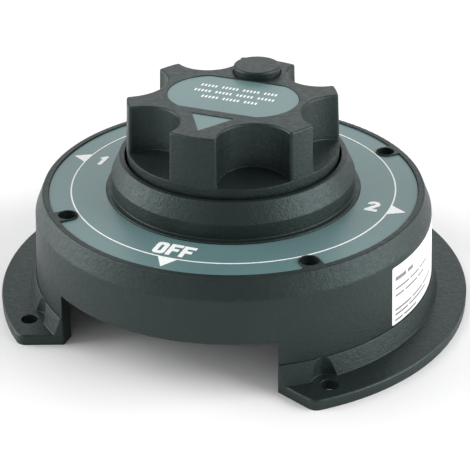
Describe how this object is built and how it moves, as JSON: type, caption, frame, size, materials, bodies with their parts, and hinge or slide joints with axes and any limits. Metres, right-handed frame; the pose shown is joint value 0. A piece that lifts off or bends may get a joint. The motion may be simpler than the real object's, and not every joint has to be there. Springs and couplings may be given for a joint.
{
  "type": "battery switch",
  "caption": "Round surface-mount rotary battery selector switch with a lobed knob, dial plate, two flanged ears, cable mouths and studs underneath.",
  "frame": {"origin": "on the knob's axis in the plane of the mounting face", "axes": "+Z out of the panel along the knob's axis; -Y towards OFF and a cable mouth; +X towards position 2 and an ear, -X towards position 1"},
  "size_m": [0.1882, 0.1582, 0.086],
  "materials": {
    "housing_plastic": "fine moulded grain, satin",
    "knob_plastic": "fine moulded grain, satin",
    "dial_teal": "satin printed foil",
    "inlay_teal": "satin printed foil",
    "white_ink": "matt print",
    "label_white": "satin paper label",
    "base_plastic": "matt",
    "black_rubber": "matt",
    "steel": "brushed",
    "spring_steel": "drawn wire",
    "brass": "machined",
    "copper": "rolled plate, tin-washed edges",
    "nylon": "moulded",
    "acetal": "moulded"
  },
  "bodies": {
    "base": {"housing": "housing_plastic", "collar": "housing_plastic", "mounting_ear_1": "housing_plastic", "mounting_ear_2": "housing_plastic", "dial_plate": "dial_teal", "dial_marks": "white_ink", "rating_sticker": "label_white", "contact_base": "base_plastic", "body_seal": "black_rubber", "cover_screws": "steel", "thread_inserts": "brass", "common_contact": "copper", "contact_1": "copper", "contact_2": "copper", "terminal_studs": "brass", "flat_washers": "steel", "lock_washers": "spring_steel", "stud_nuts": "brass"},
    "knob": {"knob": "knob_plastic", "knob_inlay": "inlay_teal", "pointer_inlay": "inlay_teal", "inlay_marks": "white_ink", "knob_screw": "steel", "knob_washer": "steel", "drive_shaft": "brass", "shaft_o_ring": "black_rubber", "thrust_washer": "nylon", "rotor_disc": "acetal", "moving_contact": "copper", "contact_springs": "spring_steel", "detent_spring_a": "spring_steel", "detent_spring_b": "spring_steel", "lock_spring": "spring_steel"},
    "ball_a": {"detent_ball_a": "steel"},
    "ball_b": {"detent_ball_b": "steel"},
    "button": {"lock_button": "knob_plastic", "lock_pin": "steel", "lock_clip": "spring_steel"}
  },
  "joints": [
    {"name": "knob_turn", "type": "hinge", "parent": "base", "child": "knob", "pos_m": [0, 0, 0], "axis": [0, 0, -1], "continuous": true},
    {"name": "detent_a", "type": "slide", "parent": "knob", "child": "ball_a", "axis": [0, 0, 1], "range_m": [0, 0.0012], "stiffness_N_per_m": 300, "deforming": ["detent_spring_a"]},
    {"name": "detent_b", "type": "slide", "parent": "knob", "child": "ball_b", "axis": [0, 0, 1], "range_m": [0, 0.0012], "stiffness_N_per_m": 300, "deforming": ["detent_spring_b"]},
    {"name": "button_press", "type": "slide", "parent": "knob", "child": "button", "axis": [0, 0, -1], "range_m": [0, 0.0024], "stiffness_N_per_m": 900, "deforming": ["lock_spring"]}
  ]
}
